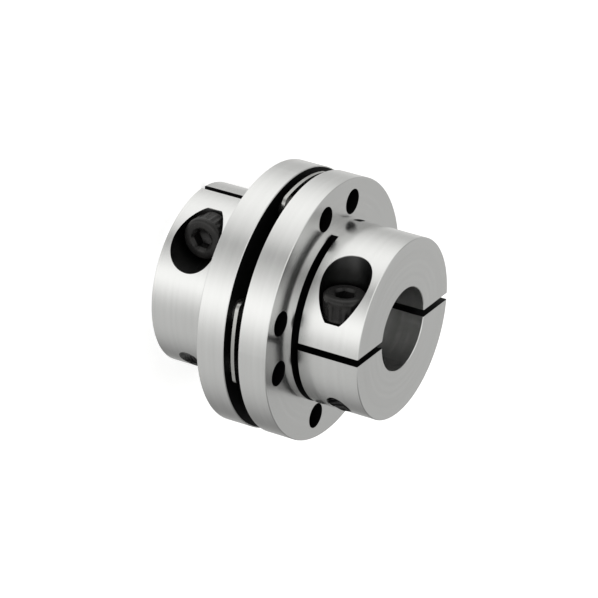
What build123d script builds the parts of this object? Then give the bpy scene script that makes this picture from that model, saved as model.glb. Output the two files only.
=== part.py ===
"""Disc coupling for two shafts: two clamp hubs joined by a pack of thin spring discs.

Sizes are in millimetres. The coupling stands on the end face of its lower hub. The origin is the centre
of that face, +Z runs along the shaft axis, and +X lies in the slit of the upper hub.

Every piece is first made for the upper half, with z counted from the middle of the disc pack. The lower
half is the same set of pieces turned over about a line between X and -Y. The turn sets the slit of the
lower hub square to the upper one, and gives the lower hub the two lobes that the upper one leaves free.
"""

from build123d import *
from math import cos, hypot, radians, sin
import os

# Hub, turned in one piece
BORE_D = 14.0
BOSS_D = 30.3
BOSS_L = 12.7  # from the flange to the end face
FLANGE_T = 4.95
RIM_WALL = 1.9  # metal outside the flange holes
BOSS_TO_HOLE = 0.75  # flat between the boss and the flange holes
FLANGE_GAP = 2.7  # free height between the two flanges
TURNED_CHAMFER = 0.12
BORE_CHAMFER = 0.1

# Slits that make the boss a clamp
SLIT_W = 1.2
CROSS_SLIT_W = 1.3
LAND_L = 0.7  # ring left between the flange and the cross slits
WEB_W = 7.0  # each of the two webs that carry the jaws

# Clamp screws, M4 socket head
CLAMP_SCREW_D = 4.0
CLAMP_SCREW_L = 12.0
CLAMP_HEAD_D = 7.0
CLAMP_HEAD_H = 4.0
CLAMP_HEAD_CHAMFER = 0.7
CLAMP_HEX_AF = 3.0
CLAMP_HEX_DEPTH = 2.2
CLAMP_MOUTH = 0.25  # countersink outside the hex corners
CLAMP_GRIP = 4.4  # metal under the head, from the slit to the seat
CLAMP_HOLE_CLEARANCE = 0.2  # radial, around the shank
CLAMP_HEAD_CLEARANCE = 0.6  # radial, around the head
BORE_TO_SCREW = 1.2  # wall between the bore and the shank hole

# Disc screws, M2 low socket head, two at each lobe of the pack
DISC_SCREW_D = 2.0
DISC_SCREW_L = 5.0
DISC_HEAD_D = 3.8
DISC_HEAD_H = 1.3
DISC_HEAD_CHAMFER = 0.2
DISC_HEX_AF = 1.5
DISC_HEX_DEPTH = 0.8
DISC_MOUTH = 0.1
DISC_GRIP = 1.35  # flange metal under the head
DISC_HOLE_CLEARANCE = 0.1  # radial, around the shank
PAIR_HALF_ANGLE = 14.0  # from the middle of a lobe to each of its screws

# Collar nuts, standing free in the holes of the opposite flange
NUT_D = 3.8
NUT_L = 3.0
NUT_SLOT_W = 0.6
NUT_SLOT_DEPTH = 0.7
NUT_CHAMFER = 0.2
FLANGE_HOLE_CLEARANCE = 0.2  # radial, around heads and nuts

# Spacer washers between each flange and the pack
SPACER_D = 4.4

# Disc pack
LEAF_T = 0.2
LEAF_COUNT = 3
LOBE_COUNT = 4
LOBE_HALF_ANGLE = 21.0
LOBE_INSET = 0.6  # lobe edge inside the flange edge
WAIST_INSET = 0.8  # outer edge between the lobes, inside the screw circle
RING_INSET = 5.0  # inner edge, inside the screw circle
LOBE_CORNER_R = 1.6
WAIST_CORNER_R = 1.2

THREAD_PLAY = 0.02  # radial, between a screw and its tapped hole
TIP_CHAMFER = 0.2

# Places that follow from the sizes above
FLANGE_HOLE_D = max(DISC_HEAD_D, NUT_D) + 2 * FLANGE_HOLE_CLEARANCE
SCREW_CIRCLE_R = BOSS_D / 2 + BOSS_TO_HOLE + FLANGE_HOLE_D / 2
FLANGE_R = SCREW_CIRCLE_R + FLANGE_HOLE_D / 2 + RIM_WALL
FLANGE_INNER_Z = FLANGE_GAP / 2
FLANGE_OUTER_Z = FLANGE_INNER_Z + FLANGE_T
END_Z = FLANGE_OUTER_Z + BOSS_L
PACK_TOP_Z = LEAF_COUNT * LEAF_T / 2
CROSS_SLIT_Z = FLANGE_OUTER_Z + LAND_L
JAW_Z = CROSS_SLIT_Z + CROSS_SLIT_W
CLAMP_Z = (JAW_Z + END_Z) / 2
CLAMP_SEAT_Y = SLIT_W / 2 + CLAMP_GRIP
CLAMP_HOLE_R = CLAMP_SCREW_D / 2 + CLAMP_HOLE_CLEARANCE
CLAMP_X = BORE_D / 2 + BORE_TO_SCREW + CLAMP_HOLE_R
COUNTERBORE_R = CLAMP_HEAD_D / 2 + CLAMP_HEAD_CLEARANCE
DISC_SEAT_Z = FLANGE_INNER_Z + DISC_GRIP
DISC_HOLE_R = DISC_SCREW_D / 2 + DISC_HOLE_CLEARANCE

# A point that every cutter reaches past
OUTSIDE = 2 * (FLANGE_R + END_Z)

# Places of the two halves in the finished coupling
UPPER = Location((0, 0, END_Z))
LOWER = UPPER * Plane(origin=(0, 0, 0), x_dir=(0, -1, 0), z_dir=(0, 0, -1)).location
HALVES = {"top": UPPER, "bottom": LOWER}


def turned(points):
    """Solid of revolution about Z from the corners of its half section, each (radius, z)."""
    section = Plane.XZ * make_face(Polyline(*points, close=True))
    return revolve(section, Axis.Z)


def rod(radius, start, end):
    """Cylinder on the Z axis from one height to another."""
    height = abs(end - start)
    return Pos(0, 0, (start + end) / 2) * Cylinder(radius, height)


def pair_places(lobe_angle):
    """The two screw places of one lobe, on the screw circle."""
    angles = (lobe_angle - PAIR_HALF_ANGLE, lobe_angle + PAIR_HALF_ANGLE)
    return [Rot(0, 0, angle) * Pos(SCREW_CIRCLE_R, 0, 0) for angle in angles]


# The upper hub holds the lobes on +Y and -Y, and the nuts of the lower hub's screws stand in its holes
# on +X and -X.
OWN_PLACES = pair_places(-90) + pair_places(90)
OTHER_PLACES = pair_places(0) + pair_places(180)

# The clamp screws lie along Y, one on each side of the bore, and their heads face opposite ways. Their
# own +Z, from shank to head, points out of the counterbore.
CLAMP_FIRST = Pos(CLAMP_X, 0, CLAMP_Z) * Rot(90, 0, 0)
CLAMP_PLACES = [CLAMP_FIRST, Rot(0, 0, 180) * CLAMP_FIRST]


def hub_blank():
    """Flange and boss with the bore through them, as they leave the lathe."""
    bore_r = BORE_D / 2
    boss_r = BOSS_D / 2
    points = [
        (bore_r + BORE_CHAMFER, FLANGE_INNER_Z),
        (FLANGE_R - TURNED_CHAMFER, FLANGE_INNER_Z),
        (FLANGE_R, FLANGE_INNER_Z + TURNED_CHAMFER),
        (FLANGE_R, FLANGE_OUTER_Z - TURNED_CHAMFER),
        (FLANGE_R - TURNED_CHAMFER, FLANGE_OUTER_Z),
        (boss_r, FLANGE_OUTER_Z),
        (boss_r, END_Z - TURNED_CHAMFER),
        (boss_r - TURNED_CHAMFER, END_Z),
        (bore_r + BORE_CHAMFER, END_Z),
        (bore_r, END_Z - BORE_CHAMFER),
        (bore_r, FLANGE_INNER_Z + BORE_CHAMFER),
    ]
    return turned(points)


def clamp_slits():
    """Long slit across the bore, and a cross slit from each side that stops at the webs."""
    slit_height = OUTSIDE - CROSS_SLIT_Z
    long_slit = Pos(0, 0, CROSS_SLIT_Z + slit_height / 2) * Box(OUTSIDE, SLIT_W, slit_height)
    depth = OUTSIDE - WEB_W / 2
    cross_slit = Pos(WEB_W / 2 + depth / 2, 0, CROSS_SLIT_Z + CROSS_SLIT_W / 2) * Box(
        depth, OUTSIDE, CROSS_SLIT_W
    )
    return [long_slit, cross_slit, Rot(0, 0, 180) * cross_slit]


def clamp_hole():
    """Cutter for one clamp screw: counterbore, shank hole to the slit, and tapped hole beyond it."""
    counterbore = rod(COUNTERBORE_R, CLAMP_SEAT_Y, OUTSIDE)
    shank_hole = rod(CLAMP_HOLE_R, 0, CLAMP_SEAT_Y)
    tapped_hole = rod(CLAMP_SCREW_D / 2 + THREAD_PLAY, -OUTSIDE, 0)
    return counterbore + shank_hole + tapped_hole


def own_hole():
    """Cutter for one of the hub's own disc screws: deep counterbore and shank hole."""
    counterbore = rod(FLANGE_HOLE_D / 2, DISC_SEAT_Z, FLANGE_OUTER_Z + TURNED_CHAMFER)
    shank_hole = rod(DISC_HOLE_R, 0, DISC_SEAT_Z)
    return counterbore + shank_hole


def other_hole():
    """Cutter for the plain hole around a collar nut of the other hub."""
    return rod(FLANGE_HOLE_D / 2, 0, FLANGE_OUTER_Z + TURNED_CHAMFER)


def hub():
    """Complete hub: blank, clamp slits, clamp screw holes and flange holes."""
    cutters = clamp_slits()
    cutters += [place * clamp_hole() for place in CLAMP_PLACES]
    cutters += [place * own_hole() for place in OWN_PLACES]
    cutters += [place * other_hole() for place in OTHER_PLACES]
    return hub_blank() - cutters


def socket_screw(thread_d, length, head_d, head_h, edge, hex_af, hex_depth, mouth_width):
    """Socket-head screw along Z with its head standing on z = 0 and its tip at minus its length."""
    shank_r = thread_d / 2
    head_r = head_d / 2
    points = [
        (0, -length),
        (shank_r - TIP_CHAMFER, -length),
        (shank_r, -length + TIP_CHAMFER),
        (shank_r, 0),
        (head_r, 0),
        (head_r, head_h - edge),
        (head_r - edge, head_h),
        (0, head_h),
    ]
    socket = Pos(0, 0, head_h - hex_depth) * extrude(
        RegularPolygon(hex_af / 2, 6, major_radius=False), hex_depth
    )
    hex_corner_r = hex_af / 2 / cos(radians(30))
    mouth_r = hex_corner_r + mouth_width
    mouth = turned([(0, head_h - mouth_r), (mouth_r, head_h), (0, head_h)])
    return turned(points) - socket - mouth


def clamp_screw():
    """Clamp screw, standing on its counterbore's floor."""
    head = (CLAMP_HEAD_D, CLAMP_HEAD_H, CLAMP_HEAD_CHAMFER)
    socket = (CLAMP_HEX_AF, CLAMP_HEX_DEPTH, CLAMP_MOUTH)
    screw = socket_screw(CLAMP_SCREW_D, CLAMP_SCREW_L, *head, *socket)
    return Pos(0, 0, CLAMP_SEAT_Y) * screw


def disc_screw():
    """Disc screw, standing on its counterbore's floor."""
    head = (DISC_HEAD_D, DISC_HEAD_H, DISC_HEAD_CHAMFER)
    socket = (DISC_HEX_AF, DISC_HEX_DEPTH, DISC_MOUTH)
    screw = socket_screw(DISC_SCREW_D, DISC_SCREW_L, *head, *socket)
    return Pos(0, 0, DISC_SEAT_Z) * screw


def spacer():
    """Spacer washer that fills the space between the flange and the pack."""
    ring = rod(SPACER_D / 2, PACK_TOP_Z, FLANGE_INNER_Z)
    return ring - rod(DISC_HOLE_R, PACK_TOP_Z, FLANGE_INNER_Z)


def collar_nut():
    """Round nut under the pack, with a driver slot across its lower end."""
    outer_r = NUT_D / 2
    thread_r = DISC_SCREW_D / 2 + THREAD_PLAY
    end_z = -PACK_TOP_Z - NUT_L
    points = [
        (thread_r, -PACK_TOP_Z),
        (outer_r, -PACK_TOP_Z),
        (outer_r, end_z + NUT_CHAMFER),
        (outer_r - NUT_CHAMFER, end_z),
        (thread_r, end_z),
    ]
    slot = Pos(0, 0, end_z) * Box(NUT_D, NUT_SLOT_W, 2 * NUT_SLOT_DEPTH)
    return turned(points) - slot


def lobe_sector(angle):
    """Pie-shaped sketch of one lobe, from the axis to the lobe edge."""
    lobe_r = FLANGE_R - LOBE_INSET
    reach = 2 * lobe_r
    side_x = reach * cos(radians(LOBE_HALF_ANGLE))
    side_y = reach * sin(radians(LOBE_HALF_ANGLE))
    wedge = make_face(Polyline((0, 0), (side_x, -side_y), (side_x, side_y), close=True))
    return Rot(0, 0, angle) * (Circle(lobe_r) & wedge)


def leaf():
    """One spring disc: a ring with four rounded lobes, each with two screw holes."""
    lobe_r = FLANGE_R - LOBE_INSET
    waist_r = SCREW_CIRCLE_R - WAIST_INSET
    angles = [index * 360 / LOBE_COUNT for index in range(LOBE_COUNT)]
    outline = Circle(waist_r)
    for angle in angles:
        outline += lobe_sector(angle)
    lobe_corners = [v for v in outline.vertices() if abs(hypot(v.X, v.Y) - lobe_r) < LEAF_T]
    outline = fillet(lobe_corners, LOBE_CORNER_R)
    waist_corners = [v for v in outline.vertices() if abs(hypot(v.X, v.Y) - waist_r) < LEAF_T]
    outline = fillet(waist_corners, WAIST_CORNER_R)
    outline -= Circle(SCREW_CIRCLE_R - RING_INSET)
    for place in OWN_PLACES + OTHER_PLACES:
        outline -= place * Circle(DISC_HOLE_R)
    return extrude(outline, LEAF_T)


def write(name, solid):
    """Write one node, labelled with its own name."""
    solid.label = name
    export_step(solid, f"parts/{name}.step")


def main():
    os.makedirs("parts", exist_ok=True)
    for half, place in HALVES.items():
        write(f"hub_{half}", place * hub())
        for number, screw_place in enumerate(CLAMP_PLACES, start=1):
            write(f"clamp_screw_{half}_{number}", place * screw_place * clamp_screw())
        for number, screw_place in enumerate(OWN_PLACES, start=1):
            write(f"disc_screw_{half}_{number}", place * screw_place * disc_screw())
            write(f"spacer_{half}_{number}", place * screw_place * spacer())
            write(f"collar_nut_{half}_{number}", place * screw_place * collar_nut())
    for index, level in enumerate(("bottom", "middle", "top")[:LEAF_COUNT]):
        leaf_z = END_Z - PACK_TOP_Z + index * LEAF_T
        write(f"disc_leaf_{level}", Pos(0, 0, leaf_z) * leaf())


main()
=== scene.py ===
"""Looks of the disc coupling: turned aluminium hubs, black socket screws and spring discs.

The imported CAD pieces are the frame. Hubs, discs, spacers and nuts keep their CAD meshes and get materials.
The screws are replaced by meshes with knurled heads, hex sockets and threads, and the tapped holes of the
hubs get thread linings. Lengths are in metres; names ending in _MM are in millimetres.
"""
import bmesh
import bpy
import math
import numpy as np
from mathutils import Matrix, Vector


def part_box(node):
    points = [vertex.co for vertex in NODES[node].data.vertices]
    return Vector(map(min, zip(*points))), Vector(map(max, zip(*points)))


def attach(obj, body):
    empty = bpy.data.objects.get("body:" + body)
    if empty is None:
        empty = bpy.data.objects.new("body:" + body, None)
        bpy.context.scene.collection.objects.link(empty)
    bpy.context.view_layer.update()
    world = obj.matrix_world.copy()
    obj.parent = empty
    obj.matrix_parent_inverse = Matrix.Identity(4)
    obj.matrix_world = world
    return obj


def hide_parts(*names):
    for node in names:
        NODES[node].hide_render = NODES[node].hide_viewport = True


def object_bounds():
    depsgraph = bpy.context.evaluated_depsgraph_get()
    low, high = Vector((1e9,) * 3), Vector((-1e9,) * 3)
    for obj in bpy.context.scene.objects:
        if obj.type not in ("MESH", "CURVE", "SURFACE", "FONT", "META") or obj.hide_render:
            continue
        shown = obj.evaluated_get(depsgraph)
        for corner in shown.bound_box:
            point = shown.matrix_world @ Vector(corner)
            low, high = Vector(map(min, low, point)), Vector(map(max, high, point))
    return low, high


MM = 0.001

# Camera: seen from above the upper hub's end face, and rolled so that the shaft lies across the view
VIEW_AZIMUTH = math.radians(61.5)
VIEW_ELEVATION = math.radians(25.66)
VIEW_ROLL = math.radians(-106.02)
VIEW_DISTANCE = 0.54365
VIEW_LENS = 201.7
AIM = Vector((0.06, -0.08, 18.82)) * MM

# Floor
FLOOR_HALF = 3.0
FLOOR_DROP = 0.01 * MM
FLOOR_GLOW = 0.64

# Threads; rows is the number of mesh rows to one pitch
CLAMP_THREAD = {"pitch": 0.7 * MM, "depth": 0.38 * MM, "rows": 8}
DISC_THREAD = {"pitch": 0.4 * MM, "depth": 0.22 * MM, "rows": 6}
KNURL_DEPTH = 0.035  # of the head's radius
LINING_PLAY = 0.004 * MM  # between a thread lining and its hole
LINING_END = 0.08 * MM  # from a thread lining's end to the surface of the boss

# Sizes of the hubs, from the CAD model: distances from the middle of the coupling and from the shaft
MIDDLE_Z = 19.0 * MM
FLANGE_INNER = 1.35 * MM
FLANGE_R = 22.0 * MM
SLIT_FLOOR = 7.0 * MM
JAW_LEVEL = 8.3 * MM
SLIT_HALF = 0.6 * MM
WEB_HALF = 3.5 * MM
BOSS_R = 15.15 * MM
CLAMP_OFFSET = 10.4 * MM
CLAMP_LEVEL = 13.65 * MM
SEAT_DEPTH = 5.0 * MM
COUNTERBORE_R = 4.1 * MM
TAPPED_R = 2.02 * MM
SCREW_TIP = 7.0 * MM
HOLE_NEAR = 4.355 * MM
HOLE_FAR = 17.465 * MM
HOLE_R = 2.1 * MM

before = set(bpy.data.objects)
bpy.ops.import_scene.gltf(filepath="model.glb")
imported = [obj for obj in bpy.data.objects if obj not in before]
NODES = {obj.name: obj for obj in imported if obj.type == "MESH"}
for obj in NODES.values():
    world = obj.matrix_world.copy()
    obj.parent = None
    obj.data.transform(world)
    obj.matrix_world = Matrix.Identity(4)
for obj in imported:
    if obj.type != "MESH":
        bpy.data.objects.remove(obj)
CAD_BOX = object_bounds()
HALVES = ("top", "bottom")


# ---------------------------------------------------------------- shader maths


class Value:
    """A shader socket that adds Math nodes when it is used in a Python expression."""

    def __init__(self, tree, socket):
        self.tree = tree
        self.socket = socket

    def maths(self, operation, *inputs):
        return self.tree.node("ShaderNodeMath", {"operation": operation}, dict(enumerate(inputs)))

    def __add__(self, other):
        return self.maths("ADD", self, other)

    def __radd__(self, other):
        return self.maths("ADD", other, self)

    def __sub__(self, other):
        return self.maths("SUBTRACT", self, other)

    def __rsub__(self, other):
        return self.maths("SUBTRACT", other, self)

    def __mul__(self, other):
        return self.maths("MULTIPLY", self, other)

    def __truediv__(self, other):
        return self.maths("DIVIDE", self, other)

    def __abs__(self):
        return self.maths("ABSOLUTE", self)

    def root(self):
        return self.maths("SQRT", self)

    def exp(self):
        return self.maths("EXPONENT", self)

    def lowest(self, other):
        return self.maths("MINIMUM", self, other)

    def highest(self, other):
        return self.maths("MAXIMUM", self, other)

    def step(self, low, high):
        """Smooth rise from 0 at low to 1 at high."""
        inputs = {"Value": self, "From Min": low, "From Max": high}
        return self.tree.node("ShaderNodeMapRange", {"interpolation_type": "SMOOTHSTEP"}, inputs)


class Tree:
    """A node tree under construction. node() adds any node and gives back one of its outputs."""

    def __init__(self, tree):
        self.tree = tree
        tree.nodes.clear()

    def node(self, kind, settings=None, inputs=None, output=0):
        made = self.tree.nodes.new(kind)
        for name, setting in (settings or {}).items():
            setattr(made, name, setting)
        for key, entry in (inputs or {}).items():
            if isinstance(entry, Value):
                self.tree.links.new(entry.socket, made.inputs[key])
            else:
                made.inputs[key].default_value = entry
        return Value(self, made.outputs[output]) if made.outputs else made

    def place(self):
        """Object coordinates as three values."""
        point = self.node("ShaderNodeTexCoord", output="Object")
        return self.split(point)

    def split(self, vector):
        return [self.node("ShaderNodeSeparateXYZ", None, {0: vector}, output=axis) for axis in range(3)]

    def join(self, x, y, z):
        return self.node("ShaderNodeCombineXYZ", None, {0: x, 1: y, 2: z})

    def noise(self, vector, scale, detail=2.0, dimensions="3D"):
        settings = {"noise_dimensions": dimensions}
        inputs = {"Vector": vector, "Scale": scale, "Detail": detail}
        return self.node("ShaderNodeTexNoise", settings, inputs, output="Fac")

    def mix(self, factor, first, second):
        """Blend of two colours, or of a colour and a socket that carries one."""
        inputs = {"Factor": factor, 6: first, 7: second}
        return self.node("ShaderNodeMix", {"data_type": "RGBA"}, inputs, output=2)

    def bump(self, height, strength, distance):
        inputs = {"Height": height, "Strength": strength, "Distance": distance}
        return self.node("ShaderNodeBump", None, inputs)


def new_material(name):
    material = bpy.data.materials.new(name)
    material.use_nodes = True
    return material, Tree(material.node_tree)


def finish_material(tree, **sockets):
    """Principled surface from socket values or links, wired to the output."""
    inputs = {key.replace("_", " "): entry for key, entry in sockets.items()}
    surface = tree.node("ShaderNodeBsdfPrincipled", None, inputs)
    tree.node("ShaderNodeOutputMaterial", None, {"Surface": surface})


# ---------------------------------------------------------------- materials

# Painted shade: the walls of the clamp screws' counterbores are coloured dark grey in place of the shade
# that falls in them.
COUNTERBORE_PAINTED_SHADE = (0.10, 0.10, 0.10, 1.0)
# Painted shade: the walls of the slits, of the gap between the flanges and of the disc screw holes are
# coloured nearly black in place of shade.
HOLLOW_PAINTED_SHADE = (0.016, 0.016, 0.017, 1.0)
MASK_EDGE = 0.04 * MM


def hub_painted_shade(x, y, z):
    """Two masks of painted shade over the hubs, for walls that little light reaches: one for the clamp
    screws' counterbores, and one for slits, gap and holes.

    Each is 1 on the walls inside and 0 on the open surfaces. The lower hub is the upper one turned over,
    so it takes the same shapes with x and y exchanged."""
    level = abs(z - MIDDLE_Z)
    upper = z.step(MIDDLE_Z - MASK_EDGE, MIDDLE_Z + MASK_EDGE)
    along = abs(x) * upper + abs(y) * (1.0 - upper)
    off = abs(y) * upper + abs(x) * (1.0 - upper)
    radius = (x * x + y * y).root()

    def over(value, edge):
        return value.step(edge - MASK_EDGE, edge)

    def under(value, edge):
        return 1.0 - value.step(edge, edge + MASK_EDGE)

    def distance(first, second):
        return (first * first + second * second).root()

    from_screw = distance(along - CLAMP_OFFSET, level - CLAMP_LEVEL)
    counterbore_shade = under(from_screw, COUNTERBORE_R + MASK_EDGE)
    counterbore_shade = counterbore_shade * over(off, SEAT_DEPTH - MASK_EDGE) * under(radius, BOSS_R - 3 * MASK_EDGE)
    long_slit = under(off, SLIT_HALF) * over(level, SLIT_FLOOR)
    cross_slit = over(level, SLIT_FLOOR) * under(level, JAW_LEVEL) * over(along, WEB_HALF)
    gap = under(level, FLANGE_INNER) * under(radius, FLANGE_R - 5 * MASK_EDGE)
    holes_by_x = distance(abs(x) - HOLE_FAR, abs(y) - HOLE_NEAR)
    holes_by_y = distance(abs(x) - HOLE_NEAR, abs(y) - HOLE_FAR)
    hollow_shade = under(holes_by_x.lowest(holes_by_y), HOLE_R)
    for shape in (long_slit, cross_slit, gap):
        hollow_shade = hollow_shade.highest(shape)
    return counterbore_shade, hollow_shade


def turned_metal(name, colour, roughness, ring_depth, ring_pitch, shade_masks=None):
    """Bare metal off the lathe: rings of fine tool marks about Z, and faint stains.

    The optional mask function, if given, marks the places that are painted dark as shade, because little
    light reaches them."""
    material, tree = new_material(name)
    x, y, z = tree.place()
    radius = (x * x + y * y).root()
    section = tree.join(radius, z, 0.0)
    rings = tree.noise(section, 1 / ring_pitch, 1.0, "2D")
    broad_rings = tree.noise(section, 1 / (9 * ring_pitch), 2.0, "2D")
    cloud = tree.noise(tree.join(x, y, z), 160.0, 3.0)
    shade = (broad_rings - 0.5) * 0.24 + (cloud - 0.5) * 0.08 + 1.0
    dark = [0.8 * part for part in colour]
    light = [min(1.0, 1.2 * part) for part in colour]
    tint = tree.mix(shade - 0.5, (*dark, 1.0), (*light, 1.0))
    rough = roughness + (broad_rings - 0.5) * 0.10 + (cloud - 0.5) * 0.06
    if shade_masks:
        counterbore_shade, hollow_shade = shade_masks(x, y, z)
        # Painted shade: darkens the counterbore walls.
        tint = tree.mix(counterbore_shade, tint, COUNTERBORE_PAINTED_SHADE)
        # Painted shade: darkens the slits, the flange gap and the disc screw holes.
        tint = tree.mix(hollow_shade, tint, HOLLOW_PAINTED_SHADE)
        rough = rough + counterbore_shade * 0.10 + hollow_shade * 0.35
    normal = tree.bump(rings * 0.7 + broad_rings, 0.35, ring_depth)
    finish_material(tree, Base_Color=tint, Metallic=1.0, Roughness=rough, Normal=normal)
    return material


def black_oxide():
    """Blackened steel with a thin film of oil: nearly black, a little brown where it is rubbed."""
    material, tree = new_material("black_oxide_steel")
    x, y, z = tree.place()
    point = tree.join(x, y, z)
    speckle = tree.noise(point, 2600.0, 3.0)
    cloud = tree.noise(point, 420.0, 2.0)
    tint = tree.mix(cloud, (0.012, 0.012, 0.013, 1.0), (0.045, 0.043, 0.041, 1.0))
    rough = 0.30 + (speckle - 0.5) * 0.18
    normal = tree.bump(speckle, 0.25, 0.02 * MM)
    finish_material(tree, Base_Color=tint, Metallic=0.55, Roughness=rough, Normal=normal)
    return material


def rolled_steel():
    """Cold-rolled spring steel: fine straight grain and a blued cast."""
    material, tree = new_material("rolled_spring_steel")
    x, y, z = tree.place()
    grain = tree.noise(tree.join(x * 40.0, y * 3.0, z * 3.0), 160.0, 3.0)
    tint = tree.mix(grain, (0.46, 0.46, 0.45, 1.0), (0.62, 0.62, 0.60, 1.0))
    rough = 0.26 + (grain - 0.5) * 0.12
    normal = tree.bump(grain, 0.2, 0.01 * MM)
    finish_material(tree, Base_Color=tint, Metallic=1.0, Roughness=rough, Normal=normal)
    return material


def white_floor():
    """Plain white sweep with the faintest unevenness."""
    material, tree = new_material("white_sweep")
    x, y, z = tree.place()
    cloud = tree.noise(tree.join(x, y, z), 2.0, 1.0)
    tint = tree.mix(cloud, (0.90, 0.90, 0.90, 1.0), (0.93, 0.93, 0.93, 1.0))
    glow = {"Emission_Color": (1, 1, 1, 1), "Emission_Strength": FLOOR_GLOW}
    finish_material(tree, Base_Color=tint, Roughness=0.9, **glow)
    return material


# ---------------------------------------------------------------- meshes


def grid_mesh(name, points, close_rows=False):
    """Mesh from a rows x columns x 3 grid of points, with quads between neighbours.

    Each row closes on itself. A row that has shrunk to one point is merged into a pole."""
    rows, columns = points.shape[:2]
    index = np.arange(rows * columns).reshape(rows, columns)
    upper = np.roll(index, -1, axis=0) if close_rows else index[1:]
    lower = index if close_rows else index[:-1]
    corners = [lower, np.roll(lower, -1, axis=1), np.roll(upper, -1, axis=1), upper]
    quads = np.stack(corners, axis=-1)
    mesh = bpy.data.meshes.new(name)
    mesh.from_pydata(points.reshape(-1, 3).tolist(), [], quads.reshape(-1, 4).tolist())
    weld(mesh)
    return mesh


def weld(mesh):
    """Merges doubled points, so that poles and seams are closed, and turns all faces outwards."""
    form = bmesh.new()
    form.from_mesh(mesh)
    bmesh.ops.remove_doubles(form, verts=form.verts, dist=0.0005 * MM)
    bmesh.ops.dissolve_degenerate(form, edges=form.edges, dist=0.0002 * MM)
    bmesh.ops.recalc_face_normals(form, faces=form.faces)
    form.to_mesh(mesh)
    form.free()


def add_piece(name, mesh, material, stands_for=None):
    piece = bpy.data.objects.new(name, mesh)
    bpy.context.scene.collection.objects.link(piece)
    mesh.materials.append(material)
    mesh.shade_smooth()
    mesh.set_sharp_from_angle(angle=math.radians(32))
    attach(piece, "root")
    if stands_for:
        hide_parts(stands_for)


def hex_factor(angle):
    """Distance from a hexagon's centre to its side, over its inscribed radius, at each angle."""
    sixth = math.pi / 3
    return 1 / np.cos((angle + sixth / 2) % sixth - sixth / 2)


def thread_wave(turn):
    """Thread section as a fraction of its depth: 0 at the crest and 1 at the root, with short flats."""
    ramp = np.abs(2 * (turn % 1.0) - 1)
    return np.clip(1.35 * ramp - 0.15, 0, 1)


def screw_mesh(name, sizes, thread, knurls, columns):
    """Socket-head screw along +Z with its head standing on z = 0.

    Each row of the grid is a ring at one height. Its radius at angle a is the row's own radius, less the
    thread depth times thread_wave(height / pitch - a / turn) on the shank, less a V-groove knurl on the
    head's side, or times hex_factor(a) inside the socket."""
    angle = np.linspace(0, 2 * math.pi, columns, endpoint=False)
    shank_r, length, head_r, head_h, edge, hex_r, hex_depth, mouth = sizes
    mouth_r = hex_r / math.cos(math.pi / 6) + mouth
    under_edge = 0.06 * head_r
    knurl_start, knurl_end = 0.13 * head_h, 0.76 * head_h
    pitch = thread["pitch"]
    rows = []

    def ring(radius, height, style="round"):
        radii = np.full(columns, radius)
        if style == "thread":
            run_out = np.clip((height + length) / pitch, 0, 1) * np.clip(-height / pitch, 0, 1)
            wave = thread_wave(height / pitch - angle / (2 * math.pi))
            radii = radii - thread["depth"] * wave * run_out
        if style == "knurl":
            groove = np.abs(2 * ((knurls * angle / (2 * math.pi)) % 1.0) - 1)
            radii = radii - KNURL_DEPTH * head_r * (1 - groove)
        if style == "hex":
            radii = radii * hex_factor(angle)
        x, y = radii * np.cos(angle), radii * np.sin(angle)
        rows.append(np.stack([x, y, np.full(columns, height)], axis=1))

    ring(0.0, -length)
    ring(shank_r * 0.72, -length)
    steps = int(round(length / pitch * thread["rows"]))
    for height in np.linspace(-length + 0.28 * shank_r, -0.02 * MM, steps):
        ring(shank_r, height, "thread")
    ring(shank_r, 0.0)
    ring(head_r - under_edge, 0.0)
    ring(head_r, under_edge)
    ring(head_r, 0.10 * head_h)
    for height in np.linspace(knurl_start, knurl_end, 8):
        ring(head_r, height, "knurl")
    ring(head_r, 0.80 * head_h)
    for bend in np.linspace(0, math.pi / 2, 7):
        ring(head_r - edge + edge * math.cos(bend), head_h - edge + edge * math.sin(bend))
    ring(mouth_r + under_edge, head_h)
    ring(mouth_r, head_h - 0.01 * head_h)
    ring(hex_r, head_h - (mouth_r - hex_r) * 0.9, "hex")
    ring(hex_r, head_h - hex_depth, "hex")
    ring(hex_r * 0.6, head_h - hex_depth * 1.08)
    ring(0.0, head_h - hex_depth * 1.25)
    return grid_mesh(name, np.array(rows))


def stand(mesh, seat, direction):
    """Moves a mesh so that its z axis points along direction from the seat."""
    turn = Vector(direction).to_track_quat("Z", "Y").to_matrix().to_4x4()
    mesh.transform(Matrix.Translation(seat) @ turn)


def screw_place(node, head_h):
    """Seat under the head, and direction from shank to head, read from a CAD screw's box.

    The screw lies along its box's longest side. Its head is at the end that is farther from the shaft, or
    from the middle of the coupling where the screw lies along the shaft."""
    low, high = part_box(node)
    sides = [high[axis] - low[axis] for axis in range(3)]
    axis = sides.index(max(sides))
    middle = (CAD_BOX[0][axis] + CAD_BOX[1][axis]) / 2
    outward = 1 if high[axis] - middle > middle - low[axis] else -1
    seat = (low + high) / 2
    seat[axis] = (high[axis] - head_h) if outward > 0 else (low[axis] + head_h)
    direction = [0, 0, 0]
    direction[axis] = outward
    return seat, direction


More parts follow.
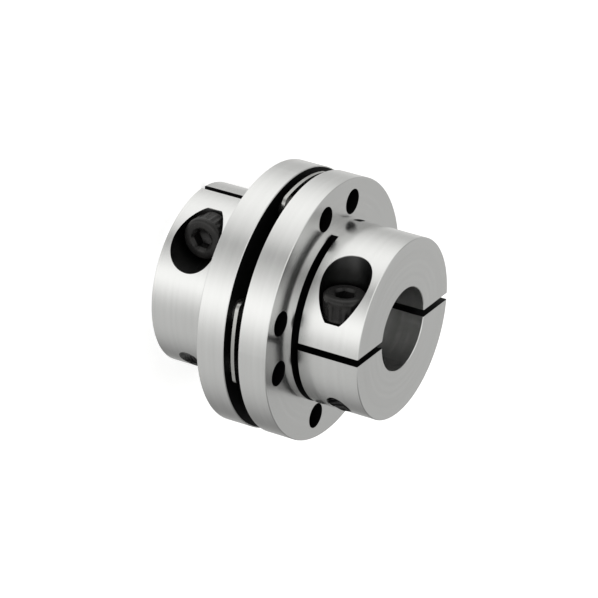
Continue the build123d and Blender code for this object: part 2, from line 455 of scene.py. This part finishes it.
def thread_lining(name, thread):
    """Thread inside a tapped hole that runs out through the round side of a boss.

    The grid goes round the hole in one direction, and in the other along the thread from the screw's tip to
    the boss and back along the hole's wall. A point at angle a and share s of the way lies at
    y = start + s (end(a) - start), where end(a) is the boss surface above it, and its radius is the
    wall's, less the thread depth times 1 - thread_wave."""
    angle = np.linspace(0, 2 * math.pi, 72, endpoint=False)
    start = SCREW_TIP + 0.1 * MM
    across = CLAMP_OFFSET + TAPPED_R * np.cos(angle)
    end = np.sqrt(BOSS_R**2 - across**2) - LINING_END
    rows = []

    def ring(share, radii):
        along = start + share * (end - start)
        rows.append(np.stack([CLAMP_OFFSET + radii * np.cos(angle), along, radii * np.sin(angle)], axis=1))

    count = int(round((end.max() - start) / thread["pitch"] * thread["rows"]))
    for share in np.linspace(0, 1, count):
        height = start + share * (end - start)
        wave = thread_wave(height / thread["pitch"] + angle / (2 * math.pi))
        ring(share, TAPPED_R - 0.02 * MM - thread["depth"] * 0.9 * (1 - wave))
    for share in (1.0, 0.5, 0.0):
        ring(share, np.full(angle.shape, TAPPED_R - LINING_PLAY))
    return grid_mesh(name, np.array(rows), close_rows=True)


# ---------------------------------------------------------------- pieces

hub_metal = turned_metal("turned_aluminium", (0.86, 0.865, 0.85), 0.24, 0.004 * MM, 0.10 * MM, hub_painted_shade)
# Painted shade: the tapped threads are the hub's own aluminium, coloured near black here in place of the
# shade inside the holes.
shaded_tapped_metal = turned_metal("cut_thread_painted_shade", (0.12, 0.12, 0.12), 0.38, 0.004 * MM, 0.10 * MM)
steel_metal = turned_metal("turned_steel", (0.50, 0.50, 0.48), 0.30, 0.004 * MM, 0.06 * MM)
spring_metal = rolled_steel()
oxide = black_oxide()

FINISHES = {
    "hub_": hub_metal,
    "spacer_": steel_metal,
    "collar_nut_": oxide,
    "disc_leaf_": spring_metal,
    "clamp_screw_": oxide,
    "disc_screw_": oxide,
}

for node_name, node_object in NODES.items():
    for prefix, finish in FINISHES.items():
        if node_name.startswith(prefix):
            for material_slot in node_object.material_slots:
                material_slot.material = finish

# Shank radius and length; head radius, height and rounding; hex inscribed radius, depth and countersink
CLAMP_SIZES = (2.0 * MM, 12.0 * MM, 3.5 * MM, 4.0 * MM, 0.7 * MM, 1.5 * MM, 2.2 * MM, 0.25 * MM)
DISC_SIZES = (1.0 * MM, 5.0 * MM, 1.9 * MM, 1.3 * MM, 0.2 * MM, 0.75 * MM, 0.8 * MM, 0.1 * MM)


def add_screws(prefix, count, sizes, thread, knurls, columns):
    for half in HALVES:
        for number in range(1, count + 1):
            node = f"{prefix}_{half}_{number}"
            mesh = screw_mesh(f"{node}_form", sizes, thread, knurls, columns)
            seat, direction = screw_place(node, sizes[3])
            stand(mesh, seat, direction)
            add_piece(f"{node}_turned", mesh, oxide, stands_for=node)


add_screws("clamp_screw", 2, CLAMP_SIZES, CLAMP_THREAD, 24, 144)
add_screws("disc_screw", 4, DISC_SIZES, DISC_THREAD, 16, 96)


def add_thread_linings():
    upright = Matrix.Identity(4)
    turned_over = Matrix(((0, -1, 0), (-1, 0, 0), (0, 0, -1))).to_4x4()
    for half, turn in (("top", upright), ("bottom", turned_over)):
        for number in (1, 2):
            mesh = thread_lining(f"tapped_thread_{half}_{number}_form", CLAMP_THREAD)
            half_turn = Matrix.Rotation(math.pi * (number - 1), 4, "Z")
            lift = Matrix.Translation((0, 0, CLAMP_LEVEL))
            mesh.transform(Matrix.Translation((0, 0, MIDDLE_Z)) @ turn @ half_turn @ lift)
            add_piece(f"tapped_thread_{half}_{number}", mesh, shaded_tapped_metal)


add_thread_linings()

# ---------------------------------------------------------------- light, floor and camera


def studio_world():
    """Soft studio light as a function of direction.

    Each light is an upright strip: strength times exp(sharpness (cos(turn from its azimuth) - 1)). The
    strips fade towards the top, where a broad overhead light takes over."""
    world = bpy.data.worlds.new("studio")
    bpy.context.scene.world = world
    world.use_nodes = True
    tree = Tree(world.node_tree)
    direction = tree.node("ShaderNodeTexCoord", output="Generated")
    x, y, z = tree.split(direction)
    level = (x * x + y * y + 1e-6).root()
    strips = [  # azimuth in degrees, strength, sharpness
        (-107.2, 1.289, 1.64),
        (-12.0, 0.929, 8.21),
        (55.1, 0.755, 1.63),
        (157.5, 0.721, 7.14),
        (-58.8, -0.184, 74.7),
    ]
    glow = -0.281
    for azimuth, strength, sharpness in strips:
        turn = math.radians(azimuth)
        facing = (x * math.cos(turn) + y * math.sin(turn)) / level
        glow = ((facing - 1.0) * sharpness).exp() * strength + glow
    height = z.step(-0.1, 0.75)
    overhead = z.step(0.55, 0.95) * 0.6
    total = glow * (1.0 - height * 0.55) + overhead
    light = tree.node("ShaderNodeBackground", None, {"Color": (1.0, 1.0, 0.985, 1.0), "Strength": total})
    tree.node("ShaderNodeOutputWorld", None, {"Surface": light})


def add_floor():
    """Flat floor that doesn't show in the metal, which reflects the studio instead."""
    half = FLOOR_HALF
    mesh = bpy.data.meshes.new("floor_sheet")
    corners = [(-half, -half, 0), (half, -half, 0), (half, half, 0), (-half, half, 0)]
    mesh.from_pydata(corners, [], [(0, 1, 2, 3)])
    floor = bpy.data.objects.new("floor", mesh)
    bpy.context.scene.collection.objects.link(floor)
    mesh.materials.append(white_floor())
    floor.location.z = -FLOOR_DROP
    floor.visible_glossy = False
    floor.visible_shadow = False


def add_camera():
    a, e, roll = VIEW_AZIMUTH, VIEW_ELEVATION, VIEW_ROLL
    back = Vector((math.sin(a) * math.cos(e), -math.cos(a) * math.cos(e), math.sin(e)))
    level = Vector((math.cos(a), math.sin(a), 0))
    upright = back.cross(level)
    up = upright * math.cos(roll) + level * math.sin(roll)
    right = up.cross(back)
    camera = bpy.data.objects.new("camera", bpy.data.cameras.new("camera"))
    bpy.context.scene.collection.objects.link(camera)
    camera.data.lens = VIEW_LENS
    camera.data.sensor_width = 36.0
    camera.data.clip_start = 0.01
    turn = Matrix((right, up, back)).transposed().to_4x4()
    camera.matrix_world = Matrix.Translation(AIM + back * VIEW_DISTANCE) @ turn
    bpy.context.scene.camera = camera


studio_world()
add_floor()
add_camera()
bpy.context.scene.view_settings.view_transform = "Standard"
